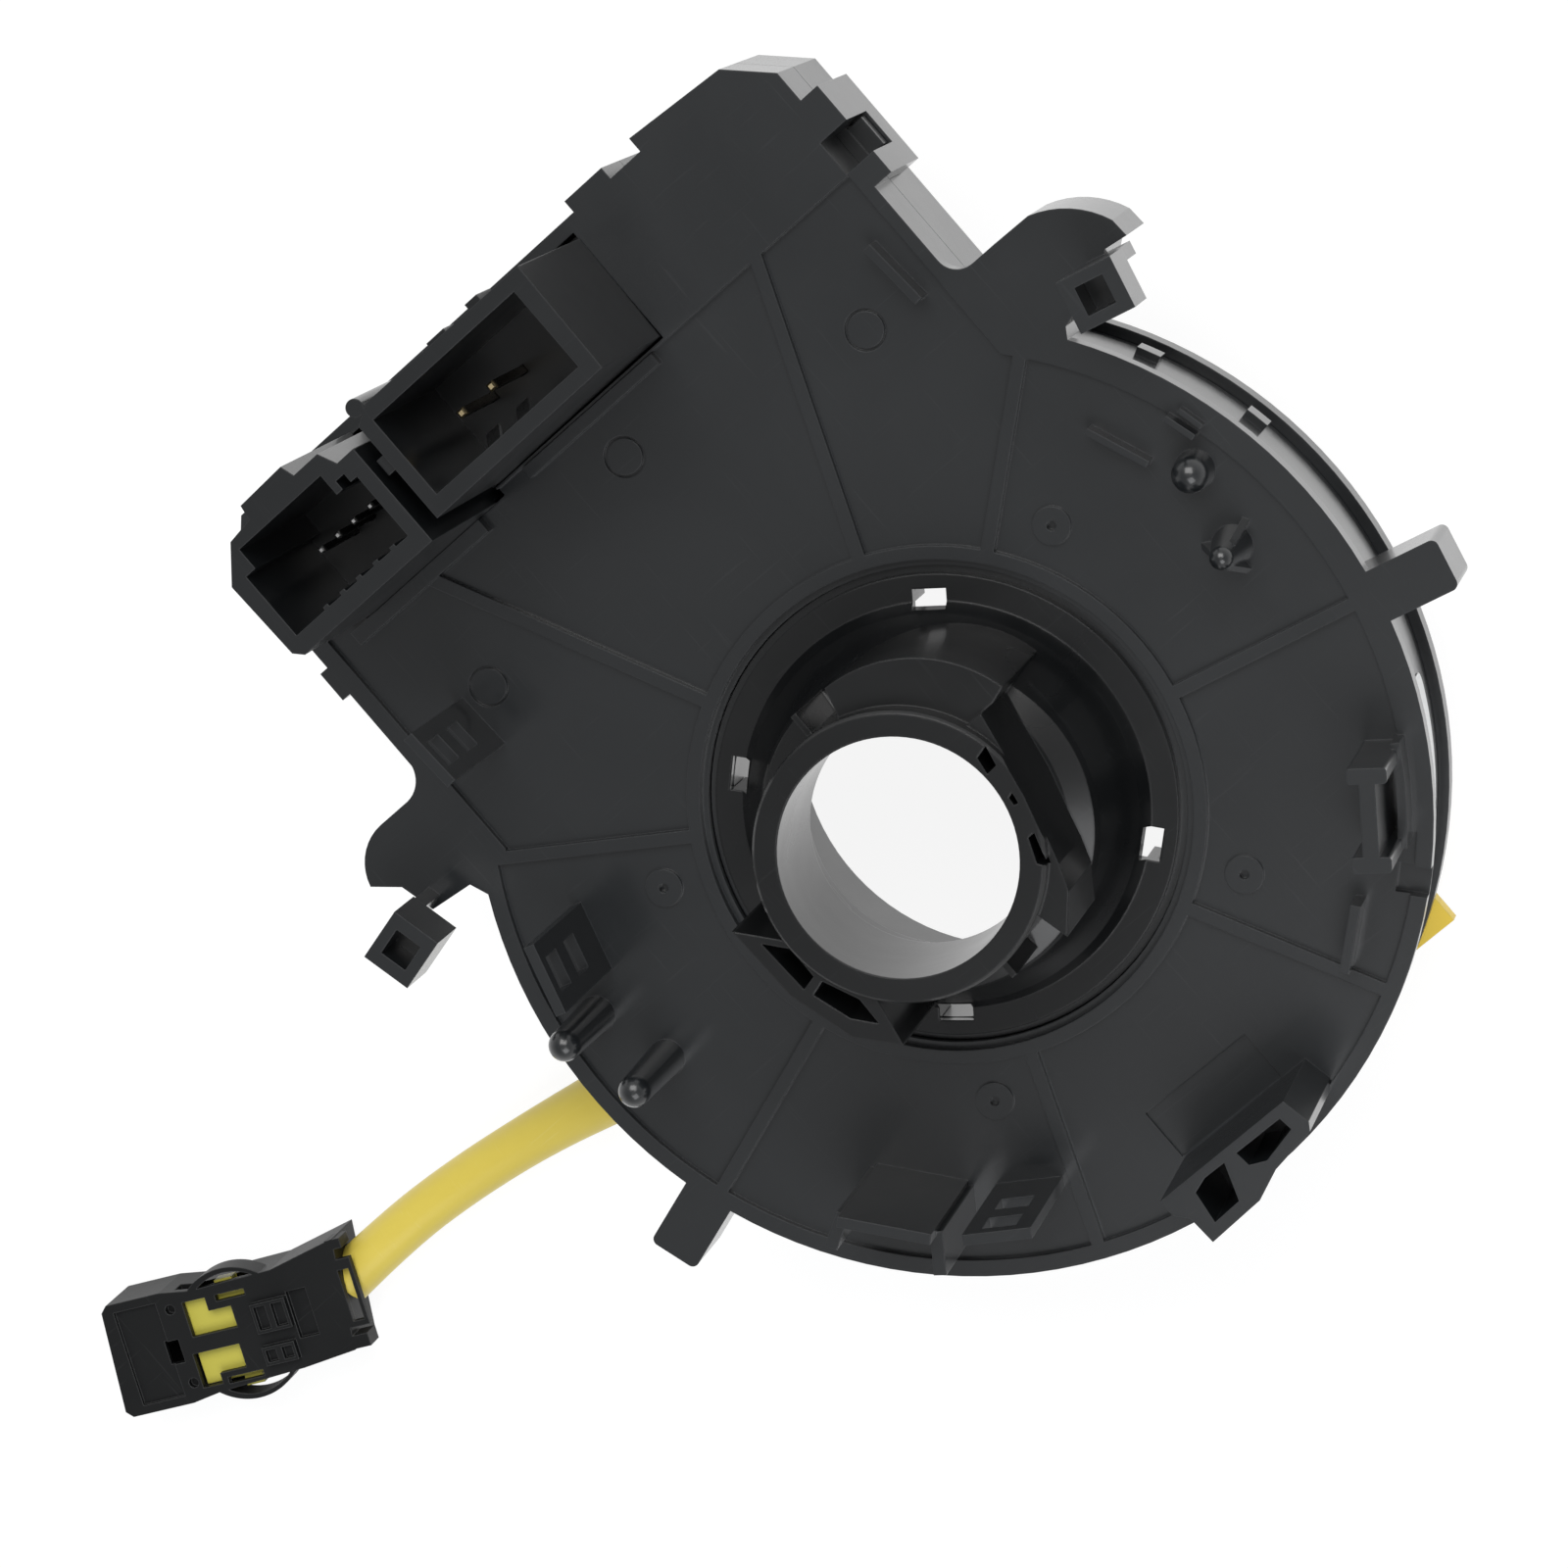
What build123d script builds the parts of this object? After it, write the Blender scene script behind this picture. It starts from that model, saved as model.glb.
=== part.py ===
"""Steering clock spring, in millimetres, lying wheel side down.

The frame: +Z points to the steering column, the bore's axis is the Z axis, and +Y points to the
block that carries the two column sockets. Height 0 is the surface that the part lies on.
"""
from build123d import *
from math import atan2, cos, degrees, hypot, pi, radians, sin, tan
import os

# Heights above the surface
plate_top = 34.0
plate_thickness = 2.2
rotor_disc_bottom = 11.6
rotor_disc_thickness = 2.8
running_gap = 0.4
seam_gap = 0.1
block_parting = 26.6
mouth_height = 58.0

# Round case
rim_radius = 52.5
rim_width = 3.0
narrow_rim_width = 1.8
narrow_rim_ends = (147.5, 318.0)
case_wall_radius = 51.0
case_wall = 1.8
band_height = 2.4
band_radius = 50.8
spigot_height = 2.0
spigot_clearance = 0.1
spigot_wall = 0.8
hub_rim_width = 1.5
lip_thickness = 1.2
panel_depth = 0.8
rib_width = 1.45
mark_depth = 0.4

# Block behind the round case
block_right = 38.6
block_left = -43.2
block_front = 20.0
block_back = 73.9
block_wall = 1.6
step_line = 57.3
panel_right = block_right - 1.4
panel_left = block_left + 2.0
tray_floor = 1.6
tray_chamfer = 1.2

# Rotor
rotor_radius = 52.0
tube_radius = 26.2
tube_wall = 2.5
tube_top = 32.0
tube_fit = 0.08
wall_clearance = 0.3
hub_opening_radius = tube_radius + 0.8

# Cancel cam sleeve
sleeve_bore_radius = 12.8
sleeve_tube_radius = 15.5
sleeve_bore_bottom = 42.4
sleeve_counterbore_radius = 15.0
sleeve_flange_radius = tube_radius - 0.8
sleeve_flange_thickness = 1.3
sleeve_drum_radius = 18.0
sleeve_drum_top = 44.0
tube_bore_radius = tube_radius - tube_wall
sleeve_window_radius = tube_bore_radius - 1.0
sleeve_window = (2.1, 3.7)
sleeve_window_azimuths = (52.7, 131.9, -49.4, -128.5)

# Column sockets
socket_wall = 1.7
socket_clearance = 0.3
socket_floor = 36.0
pin_tip = 48.0
pin_clearance = 0.05

# Ribbon room
ribbon_width = 13.0
ribbon_thickness = 0.3
ribbon_turns = 3
ribbon_inner_radius = tube_radius + 3.0
ribbon_outer_radius = case_wall_radius - case_wall - 2.7
ribbon_pitch = (ribbon_outer_radius - ribbon_inner_radius) / ribbon_turns
slip_sheet_thickness = 0.3
slip_sheet_radius = case_wall_radius - case_wall - 1.4

# Pigtail
sleeve_diameter = 6.0
gland_clearance = 0.05

plate_bottom = plate_top - plate_thickness
panel_top = plate_top - panel_depth
rotor_disc_top = rotor_disc_bottom + rotor_disc_thickness
case_bottom = rotor_disc_top + running_gap
band_top = case_bottom + band_height
wall_bottom = band_top + seam_gap
ribbon_bottom = case_bottom + 1.8


def polar(radius, azimuth):
    """Point at a radius and an azimuth in degrees."""
    return (radius * cos(radians(azimuth)), radius * sin(radians(azimuth)))


def upright(point, heading, height):
    """Vertical plane through a point: its x runs along the heading, its y runs up."""
    direction = (cos(radians(heading)), sin(radians(heading)), 0)
    normal = (sin(radians(heading)), -cos(radians(heading)), 0)
    return Plane(origin=(point[0], point[1], height), x_dir=direction, z_dir=normal)


def level(point, turn, height):
    """Horizontal plane at a point, its x turned by an angle."""
    direction = (cos(radians(turn)), sin(radians(turn)), 0)
    return Plane(origin=(point[0], point[1], height), x_dir=direction, z_dir=(0, 0, 1))


def middle(start, end):
    """Middle, length and heading of the straight line between two points."""
    across = (end[0] - start[0], end[1] - start[1])
    centre = ((start[0] + end[0]) / 2, (start[1] + end[1]) / 2)
    return centre, hypot(*across), degrees(atan2(across[1], across[0]))


def rectangle_between(left, right, front, back, grow=0.0):
    """Rectangle between two x and two y values, grown on every side."""
    with Locations(((left + right) / 2, (front + back) / 2)):
        Rectangle(right - left + 2 * grow, back - front + 2 * grow)


def prism(corners, plane, height, mode=Mode.ADD):
    """Solid on a closed outline in a plane."""
    with BuildSketch(plane) as base:
        with BuildLine():
            Polyline(*corners, close=True)
        make_face()
    extrude(base.sketch, amount=height, mode=mode)


def block(left, right, front, back, bottom, top, mode=Mode.ADD):
    """Upright rectangular solid between two x, two y and two z values."""
    with BuildSketch(Plane.XY.offset(bottom)) as base:
        rectangle_between(left, right, front, back)
    extrude(base.sketch, amount=top - bottom, mode=mode)


def sector(inner, outer, start, end, bottom, top):
    """Part of a ring between two azimuths and two heights."""
    with BuildSketch(Plane.XY.offset(bottom)) as ring:
        with BuildLine():
            outside = CenterArc((0, 0), outer, start, end - start)
            inside = CenterArc((0, 0), inner, start, end - start)
            Line(outside @ 0, inside @ 0)
            Line(outside @ 1, inside @ 1)
        make_face()
    extrude(ring.sketch, amount=top - bottom)


# Outline of the block seen from the column side
block_corners = [
    (block_left, 30),
    (block_right, 30),
    (block_right, 70.3),
    (34.1, block_back + 0.8),
    (21.8, block_back + 1.8),
    (21.8, block_back),
    (17.4, block_back),
    (17.4, block_back + 1.5),
    (11.9, block_back + 1.5),
    (11.9, block_back),
    (block_left + 4, block_back),
    (block_left, block_back - 4),
]

with BuildSketch() as block_outline:
    with BuildLine():
        Polyline(*block_corners, close=True)
    make_face()

# Right and left ears, which carry the square eyes
ear_root = (block_right, 41.8)
ear_root_fillet = 2.6
ear_depth = 11.0
ear_wall = 1.6
with BuildSketch() as right_ear:
    with BuildLine():
        Polyline((43.6, 29.2), (38.0, 31.0), (38.0, ear_root[1]), (44.3, ear_root[1]), (49.0, 41.7))
        ThreePointArc((49.0, 41.7), (52.9, 39.4), (55.5, 35.6))
        Polyline((55.5, 35.6), (55.6, 33.4), (52.9, 33.8), (50.8, 32.2), (44.4, 30.4), (43.6, 29.2))
    make_face()

with BuildSketch() as left_ear:
    with BuildLine():
        Polyline((-46.2, 24.8), (-40.0, 24.0), (-40.0, 41.0), (block_left, 41.0))
        ThreePointArc((block_left, 41.0), (-44.3, 39.2), (-46.3, 38.4))
        Line((-46.3, 38.4), (-50.5, 38.4))
        ThreePointArc((-50.5, 38.4), (-54.4, 36.9), (-56.2, 34.0))
        Polyline((-56.2, 34.0), (-53.4, 31.7), (-52.3, 27.6), (-47.1, 27.0), (-46.2, 24.8))
    make_face()

with BuildSketch() as plate_outline:
    Circle(rim_radius)
    add(block_outline.sketch)
    add(right_ear.sketch)
    add(left_ear.sketch)
    fillet(plate_outline.vertices().sort_by_distance(ear_root)[0], ear_root_fillet)

# Tabs, ribs and marks of the plate
tab_azimuths = (-13.5, -162.0)
tab_reach = 60.5
tab_width = 5.8
tab_depth = 10.0
rib_azimuths = (39.0, -13.0, -62.0, -112.0, -161.0, 147.5)
block_rib_azimuths = (67.5, 116.5)
disc_azimuths = (157, -52, -122, 28)
disc_radius = 2.1
catch_azimuths = (11, 26, -78)
ring_mark_places = [(27.6, 44.0), (-1.8, 50.9), (-30.6, 42.0)]
ring_mark_radius = 2.3

# Square eyes beside the ears
eye_size = (6.3, 5.8)
eye_hole = 3.2
eye_depth = 7.0
eye_floor = 2.0
eye_top = 48.0
eye_neck = 1.5

# Harness guide on the rim, and the bracket beside it
tower_height = 17.0
tower_floor = 5.0
tower_outline = [
    (-5.2, -45.6),
    (12.1, -45.4),
    (12.8, -48.7),
    (12.2, -49.6),
    (6.7, -50.5),
    (3.2, -52.0),
    (-3.7, -52.4),
    (-3.9, -49.0),
    (-5.2, -47.6),
]
tower_pockets = [
    [(0.2, -46.6), (2.9, -46.6), (1.4, -50.7), (-2.1, -50.9), (-1.6, -47.2)],
    [(4.6, -46.6), (10.6, -46.6), (10.8, -48.2), (6.6, -49.2), (4.8, -48.4)],
]
bracket_height = 14.0
bracket_web = 1.7
bracket_flange = 4.2

# Latch hasp on the block's right wall, which hooks over a catch on the wheel-side case
hasp_thickness = 2.4
hasp_front = 54.6
hasp_back = 66.5
hasp_bottom = 20.0
hasp_window = (57.5, 61.8)
hasp_window_bottom = 24.4
hasp_clearance = 0.3
catch_top = 26.3
notch_depth = 1.4

# Column sockets: left, right, front and back of each hollow, and the key ways of the small one
large_inner = (-12.2, 8.4, 59.6, 69.7)
small_inner = (-34.2, -17.6, 58.4, 66.5)
small_key = (-32.8, -20.6, 66.0, 69.1)
small_second_key = (-19.7, -18.5, 66.0, 67.6)
small_mouth = [
    (-34.9, 56.3),
    (-35.9, 57.3),
    (-36.2, 66.7),
    (-33.0, 70.3),
    (-29.8, 70.7),
    (-29.5, 72.4),
    (-23.3, 72.6),
    (-22.8, 71.0),
    (-19.3, 71.0),
    (-18.3, 68.9),
    (-15.9, 68.9),
    (-15.9, 56.3),
]
large_mouth = [
    (-13.9, 57.7),
    (10.3, 57.9),
    (10.5, 71.4),
    (-11.7, 71.5),
    (-13.9, 70.2),
]
tooth_size = (0.7, 0.35)
tooth_places = (-29.6, -27.1, -24.7, -22.2, -19.7)
cutout_back = block_back - block_wall
cutout_split = (small_inner[1] + large_inner[0]) / 2


def portal(start, end, height=19.0, wall=1.2):
    """Thin upright wall with an upper window and a lower one, standing on a panel."""
    centre, width, heading = middle(start, end)
    with BuildSketch(upright(centre, heading, panel_top)) as face:
        with Locations((0, height / 2)):
            Rectangle(width, height)
        with Locations((0, height - 3.6), (0, height - 10.6)):
            Rectangle(width * 0.5, 4.0, mode=Mode.SUBTRACT)
    extrude(face.sketch, amount=wall / 2, both=True)


def post(point, foot_radius, tip_radius, height):
    """Round tapered post with a domed tip, standing on a panel."""
    with BuildSketch(upright(point, 0, panel_top)) as half:
        with BuildLine():
            Polyline((0, 0), (foot_radius, 0), (tip_radius, height - tip_radius))
            RadiusArc((tip_radius, height - tip_radius), (0, height), -tip_radius)
            Line((0, height), (0, 0))
        make_face()
    revolve(half.sketch, axis=Axis((point[0], point[1], 0), (0, 0, 1)))


def bar(start, end, height, wall):
    """Low straight wall on a panel."""
    centre, length, heading = middle(start, end)
    with BuildSketch(upright(centre, heading, panel_top)) as face:
        with Locations((0, height / 2)):
            Rectangle(length, height)
    extrude(face.sketch, amount=wall / 2, both=True)


def i_bracket(first, second):
    """Upright bracket with an I section between the middles of its two flanges."""
    centre, length, heading = middle(first, second)
    with BuildSketch(level(centre, heading, panel_top)) as section:
        Rectangle(length, bracket_web)
        with Locations((-length / 2, 0), (length / 2, 0)):
            RectangleRounded(bracket_web, bracket_flange, 0.4)
    extrude(section.sketch, amount=bracket_height)


def square_eye(centre, turn):
    """Square eye beside an ear, on a neck that is the ear's inner wall carried up."""
    with BuildSketch(level(centre, turn, eye_top - eye_depth)) as eye:
        Rectangle(*eye_size)
    extrude(eye.sketch, amount=eye_depth)
    with BuildSketch(level(centre, turn, eye_top - eye_depth + eye_floor)) as hole:
        Rectangle(eye_hole, eye_hole)
    extrude(hole.sketch, amount=eye_depth, mode=Mode.SUBTRACT)
    with BuildSketch(level(centre, turn, plate_bottom)) as neck:
        with Locations((0, eye_size[1] / 2 - eye_neck / 2)):
            Rectangle(eye_size[0] - eye_neck, eye_neck)
    extrude(neck.sketch, amount=eye_top - eye_depth - plate_bottom)


# Column-side case: plate, round wall, block walls, ears, tabs and everything that stands on it
block_opening = (-28.0, 28.0)
wall_inner_radius = case_wall_radius - case_wall
with BuildPart() as column_side_case:
    with BuildSketch(Plane.XY.offset(plate_bottom)):
        add(plate_outline.sketch)
    extrude(amount=plate_thickness)
    # Round wall, open towards the block, and the block's walls
    with BuildSketch(Plane.XY.offset(wall_bottom)):
        Circle(case_wall_radius)
        Circle(wall_inner_radius, mode=Mode.SUBTRACT)
        with Locations((0, 45)):
            Rectangle(block_opening[1] - block_opening[0], 30, mode=Mode.SUBTRACT)
    extrude(amount=plate_bottom - wall_bottom)
    with BuildSketch(Plane.XY.offset(block_parting)):
        add(block_outline.sketch)
        offset(block_outline.sketch, amount=-block_wall, mode=Mode.SUBTRACT)
        Circle(wall_inner_radius, mode=Mode.SUBTRACT)
    extrude(amount=plate_bottom - block_parting)
    # Hollow ears
    for ear in (right_ear, left_ear):
        with BuildSketch(Plane.XY.offset(plate_top - ear_depth)):
            add(ear.sketch)
            offset(ear.sketch, amount=-ear_wall, mode=Mode.SUBTRACT)
            Circle(case_wall_radius - case_wall / 2, mode=Mode.SUBTRACT)
            add(block_outline.sketch, mode=Mode.SUBTRACT)
        extrude(amount=ear_depth - plate_thickness)
    # Solid tabs on the round wall
    tab_length = tab_reach - case_wall_radius + case_wall / 2
    for azimuth in tab_azimuths:
        with BuildSketch(Plane.XY.offset(plate_top - tab_depth)):
            with PolarLocations(tab_reach - tab_length / 2, 1, start_angle=azimuth):
                RectangleRounded(tab_length, tab_width, 0.8)
        extrude(amount=tab_depth)
    # Sunken panels between the ribs
    with BuildSketch(Plane.XY.offset(plate_top)):
        Circle(rim_radius - rim_width)
        with BuildLine():
            start, end = narrow_rim_ends
            narrow_rim = CenterArc((0, 0), rim_radius - narrow_rim_width, start, end - start)
            Polyline(narrow_rim @ 1, (0, 0), narrow_rim @ 0)
        make_face()
        rectangle_between(panel_left, panel_right, block_front, step_line)
        Circle(hub_opening_radius + hub_rim_width, mode=Mode.SUBTRACT)
        for azimuth in rib_azimuths:
            with PolarLocations(40, 1, start_angle=azimuth):
                Rectangle(32, rib_width, mode=Mode.SUBTRACT)
        for azimuth in block_rib_azimuths:
            with PolarLocations(47, 1, start_angle=azimuth):
                Rectangle(44, rib_width, mode=Mode.SUBTRACT)
    extrude(amount=-panel_depth, mode=Mode.SUBTRACT)
    # Hub opening with a thinner lip, and the cut-out for the sockets
    with BuildSketch(Plane.XY.offset(plate_bottom)):
        Circle(tube_radius + tube_fit)
        opening = socket_wall + socket_clearance
        rectangle_between(small_inner[0] - opening, cutout_split, small_inner[2] - opening, cutout_back)
        rectangle_between(cutout_split, large_inner[1] + opening, large_inner[2] - opening, cutout_back)
    extrude(amount=plate_thickness, mode=Mode.SUBTRACT)
    with BuildSketch(Plane.XY.offset(plate_bottom + lip_thickness)):
        Circle(hub_opening_radius)
    extrude(amount=plate_thickness, mode=Mode.SUBTRACT)
    # Windowed clips and domed posts that hold the vehicle's harness
    portal((-34.4, 43.0), (-34.1, 36.2))
    portal((-39.5, 17.8), (-41.8, 10.0))
    portal((-24.0, -35.6), (-17.6, -39.5))
    post((-46.1, 7.1), 2.1, 1.8, 14.8)
    post((-43.2, -1.5), 2.1, 1.8, 15.4)
    post((44.7, 10.2), 2.2, 2.0, 5.0)
    post((42.5, 1.6), 2.2, 1.3, 8.8)
    for turn in (30, 150, 270):
        prism([(0, 0), (3.2, 0), (1.4, 6.0), (0, 6.0)], upright((42.5, 1.6), turn, panel_top), 0.8)
    # Low walls and ledges
    bar((39.1, 20.7), (41.8, 13.9), 2.5, 0.8)
    bar((46.5, 16.4), (47.5, 12.9), 3.0, 0.7)
    bar((48.0, 16.1), (48.7, 13.2), 2.2, 0.6)
    bar((34.2, 50.3), (34.7, 42.5), 3.0, 1.0)
    bar((28.4, -35.6), (22.6, -40.4), 4.5, 1.1)
    bar((-38.2, 55.4), (-18.5, 55.4), panel_depth + 0.8, 1.7)
    bar((-11.0, 56.5), (8.3, 56.5), panel_depth + 0.5, 1.4)
    # Upright wall with end posts near the lower left of the rim
    bar((-33.0, -25.6), (-26.3, -33.3), 20.0, 1.2)
    bar((-33.0, -25.6), (-36.6, -27.6), 17.0, 1.4)
    bar((-26.3, -33.3), (-29.2, -37.2), 17.0, 1.4)
    # I bracket and curved wall on the lower right, and the harness guide
    i_bracket((40.6, -24.9), (34.9, -32.4))
    sector(49.2, 50.2, -43, -30, panel_top, panel_top + 5.0)
    prism(tower_outline, Plane.XY.offset(panel_top), tower_height)
    for corners in tower_pockets:
        prism(corners, Plane.XY.offset(panel_top + tower_floor), tower_height, Mode.SUBTRACT)
    block(-5.5, 8.8, -45.4, -39.3, panel_top - mark_depth, panel_top, Mode.SUBTRACT)
    with BuildSketch(Plane.XY.offset(plate_bottom + mark_depth)):
        with PolarLocations(case_wall_radius, 1, start_angle=-48.0):
            Rectangle(4.0, 3.2)
    extrude(amount=plate_thickness, mode=Mode.SUBTRACT)
    # Raised discs with a centre dimple, and shallow ring marks
    disc_places = [polar(33.0, azimuth) for azimuth in disc_azimuths]
    with BuildSketch(Plane.XY.offset(panel_top)):
        with Locations(*disc_places):
            Circle(disc_radius)
    extrude(amount=mark_depth)
    with BuildSketch(Plane.XY.offset(panel_top - mark_depth)):
        with Locations(*disc_places):
            Circle(disc_radius / 4)
        with Locations(*ring_mark_places):
            Circle(ring_mark_radius)
            Circle(ring_mark_radius - 0.3, mode=Mode.SUBTRACT)
    extrude(amount=2 * mark_depth, mode=Mode.SUBTRACT)
    # Catches on the round wall, which the band's tongues snap over
    for azimuth in catch_azimuths:
        ends = (azimuth - 1.5, azimuth + 1.5)
        sector(case_wall_radius - 0.5, case_wall_radius + 0.9, *ends, wall_bottom + 1.0, wall_bottom + 4.0)
    # Latch hasp on the block's right wall, with its window and the notch above it
    hasp_outside = block_right + hasp_thickness
    notch_floor = block_right - notch_depth
    block(block_right - seam_gap, hasp_outside, hasp_front, hasp_back, block_parting, plate_top)
    block(block_right + seam_gap, hasp_outside, hasp_front, hasp_back, hasp_bottom, block_parting)
    block(block_right, hasp_outside, *hasp_window, hasp_window_bottom, plate_top, Mode.SUBTRACT)
    block(notch_floor, block_right, *hasp_window, block_parting, plate_top, Mode.SUBTRACT)
    block(notch_floor - block_wall, notch_floor, *hasp_window, block_parting, plate_bottom)
    block(block_left - 1.1, block_left + 0.5, 51.4, 55.2, block_parting, plate_top)
    square_eye((52.0, 30.6), -14)
    square_eye((-52.6, 26.4), 14)
column_side_case.part.label = "column_side_case"

# Wheel-side case: a low band round the case with a spigot, and the tray under the block
spigot_radius = wall_inner_radius - spigot_clearance
tray_front = 40.0
tray_top = block_parting - seam_gap
with BuildSketch() as tray_outline:
    add(block_outline.sketch)
    with Locations((0, tray_front - 50)):
        Rectangle(4 * block_right, 100, mode=Mode.SUBTRACT)

with BuildPart() as wheel_side_case:
    # Tray under the block, chamfered along its back
    with BuildSketch(Plane.XY.offset(case_bottom)):
        add(tray_outline.sketch)
    extrude(amount=tray_top - case_bottom)
    bottom_edges = wheel_side_case.faces().sort_by(Axis.Z)[0].edges()
    chamfer(bottom_edges.filter_by_position(Axis.Y, tray_front + 5, 2 * block_back), tray_chamfer)
    with BuildSketch(Plane.XY.offset(case_bottom + tray_floor)):
        offset(block_outline.sketch, amount=-block_wall)
    extrude(amount=tray_top, mode=Mode.SUBTRACT)
    # Room for the round wall of the other case
    with BuildSketch(Plane.XY.offset(band_top)):
        Circle(case_wall_radius + spigot_clearance)
    extrude(amount=tray_top, mode=Mode.SUBTRACT)
    # Band and spigot round the case, open inside and towards the block
    with BuildSketch(Plane.XY.offset(case_bottom)):
        Circle(band_radius)
    extrude(amount=band_height)
    with BuildSketch(Plane.XY.offset(band_top)):
        Circle(spigot_radius)
        with Locations((0, 45)):
            Rectangle(block_opening[1] - block_opening[0] + 4, 30, mode=Mode.SUBTRACT)
    extrude(amount=spigot_height)
    with BuildSketch(Plane.XY.offset(case_bottom)):
        Circle(spigot_radius - spigot_wall)
    extrude(amount=band_height + spigot_height, mode=Mode.SUBTRACT)
    # Catch inside the hasp's window
    catch_ends = (hasp_window[0] + hasp_clearance, hasp_window[1] - hasp_clearance)
    catch_bottom = hasp_window_bottom + hasp_clearance
    block(block_right - seam_gap, block_right + hasp_thickness - 0.4, *catch_ends, catch_bottom, catch_top)
wheel_side_case.part.label = "wheel_side_case"

# Slip sheets that the ribbon slides on
with BuildPart() as slip_sheet_column_side:
    with BuildSketch(Plane.XY.offset(plate_bottom - slip_sheet_thickness)):
        Circle(slip_sheet_radius)
        Circle(tube_radius + wall_clearance, mode=Mode.SUBTRACT)
    extrude(amount=slip_sheet_thickness)
slip_sheet_column_side.part.label = "slip_sheet_column_side"

with BuildPart() as slip_sheet_wheel_side:
    with BuildSketch(Plane.XY.offset(rotor_disc_top)):
        Circle(slip_sheet_radius)
        Circle(tube_radius + wall_clearance, mode=Mode.SUBTRACT)
    extrude(amount=slip_sheet_thickness)
slip_sheet_wheel_side.part.label = "slip_sheet_wheel_side"

# Ribbon cable wound between the rotor and the case, as half turns about two centres
with BuildPart() as ribbon_cable:
    with BuildSketch(Plane.XY.offset(ribbon_bottom)):
        for half_turn in range(2 * ribbon_turns):
            side = 1 if half_turn % 2 else -1
            radius = ribbon_inner_radius + ribbon_pitch * (half_turn / 2 + 0.25)
            with BuildSketch(mode=Mode.PRIVATE) as half_ring:
                with Locations((side * ribbon_pitch / 4, 0)):
                    Circle(radius + ribbon_thickness / 2)
                    Circle(radius - ribbon_thickness / 2, mode=Mode.SUBTRACT)
                    with Locations((0, -side * rim_radius)):
                        Rectangle(4 * rim_radius, 2 * rim_radius, mode=Mode.SUBTRACT)
            add(half_ring.sketch)
    extrude(amount=ribbon_width)
ribbon_cable.part.label = "ribbon_cable"

# Holders that clamp the two ends of the ribbon
with BuildPart() as rotor_ribbon_holder:
    sector(tube_radius, ribbon_inner_radius - 0.4, -75, -15, ribbon_bottom, ribbon_bottom + ribbon_width)
rotor_ribbon_holder.part.label = "rotor_ribbon_holder"

holder_front = case_wall_radius + 0.2
holder_sides = (-19.0, 7.0)
holder_depth = 5.0
with BuildPart() as stator_ribbon_holder:
    holder_bottom = case_bottom + tray_floor
    holder_back = holder_front + holder_depth
    block(*holder_sides, holder_front, holder_back, holder_bottom, holder_bottom + ribbon_width)
stator_ribbon_holder.part.label = "stator_ribbon_holder"

# Column connector: two deep sockets on one base inside the block
base_bottom = 27.5
large_pins = [(-3.3, 64.9), (-7.7, 64.9)]
small_pins = [(-22.2, 64.1), (-24.7, 64.1), (-27.1, 64.1), (-29.6, 64.1)]
large_pin = 0.9
small_pin = 0.64
pin_foot = base_bottom - 1.0
shroud_foot = plate_top + seam_gap
shroud_bead = (-12.9, 71.9)
shroud_bead_radius = 1.0
shroud_catch = (-15.2, -13.8, 64.4, 66.4)
shroud_hooks = [(2.2, 3.9, 71.0, 72.5), (-3.7, -1.2, 71.0, 72.2), (-5.8, -4.6, 71.0, 71.9)]
with BuildPart() as column_connector:
    block(
        small_inner[0] - 3.5,
        large_inner[1] + 3.5,
        large_inner[2] - socket_wall,
        cutout_back - socket_clearance,
        base_bottom,
        plate_bottom - seam_gap,
    )
    # Shrouds: plain where they pass through the plate, with flanges and keys above it
    with BuildSketch(Plane.XY.offset(base_bottom)):
        rectangle_between(*large_inner, grow=socket_wall)
        rectangle_between(*small_inner, grow=socket_wall)
        rectangle_between(*small_key, grow=socket_wall)
    extrude(amount=shroud_foot - base_bottom)
    prism(large_mouth, Plane.XY.offset(shroud_foot), mouth_height - shroud_foot)
    prism(small_mouth, Plane.XY.offset(shroud_foot), mouth_height - shroud_foot)
    # Bead, catch and hooks on the large shroud
    with BuildSketch(Plane.XY.offset(shroud_foot)):
        with Locations(shroud_bead):
            Circle(shroud_bead_radius)
    extrude(amount=mouth_height - shroud_foot)
    block(*shroud_catch, mouth_height - 5, mouth_height - 1)
    for hook in shroud_hooks:
        block(*hook, mouth_height - 9, mouth_height - 4)
    # Hollows with their key ways
    with BuildSketch(Plane.XY.offset(socket_floor)):
        rectangle_between(*large_inner)
        rectangle_between(*small_inner)
        rectangle_between(*small_key)
        rectangle_between(*small_second_key)
    extrude(amount=mouth_height, mode=Mode.SUBTRACT)
    # Teeth that part the contacts on the small hollow's front wall
    for place in tooth_places:
        sides = (place - tooth_size[0] / 2, place + tooth_size[0] / 2)
        block(*sides, small_inner[2], small_inner[2] + tooth_size[1], socket_floor, mouth_height)
    with BuildSketch(Plane.XY.offset(base_bottom)):
        for places, width in ((large_pins, large_pin), (small_pins, small_pin)):
            with Locations(*places):
                Rectangle(width + 2 * pin_clearance, width + 2 * pin_clearance)
    extrude(amount=socket_floor, mode=Mode.SUBTRACT)
column_connector.part.label = "column_connector"

with BuildPart() as large_socket_pins:
    with BuildSketch(Plane.XY.offset(pin_foot)):
        with Locations(*large_pins):
            Rectangle(large_pin, large_pin)
    extrude(amount=pin_tip - pin_foot)
    chamfer(large_socket_pins.faces().group_by(Axis.Z)[-1].edges(), 0.2)
large_socket_pins.part.label = "large_socket_pins"

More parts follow.
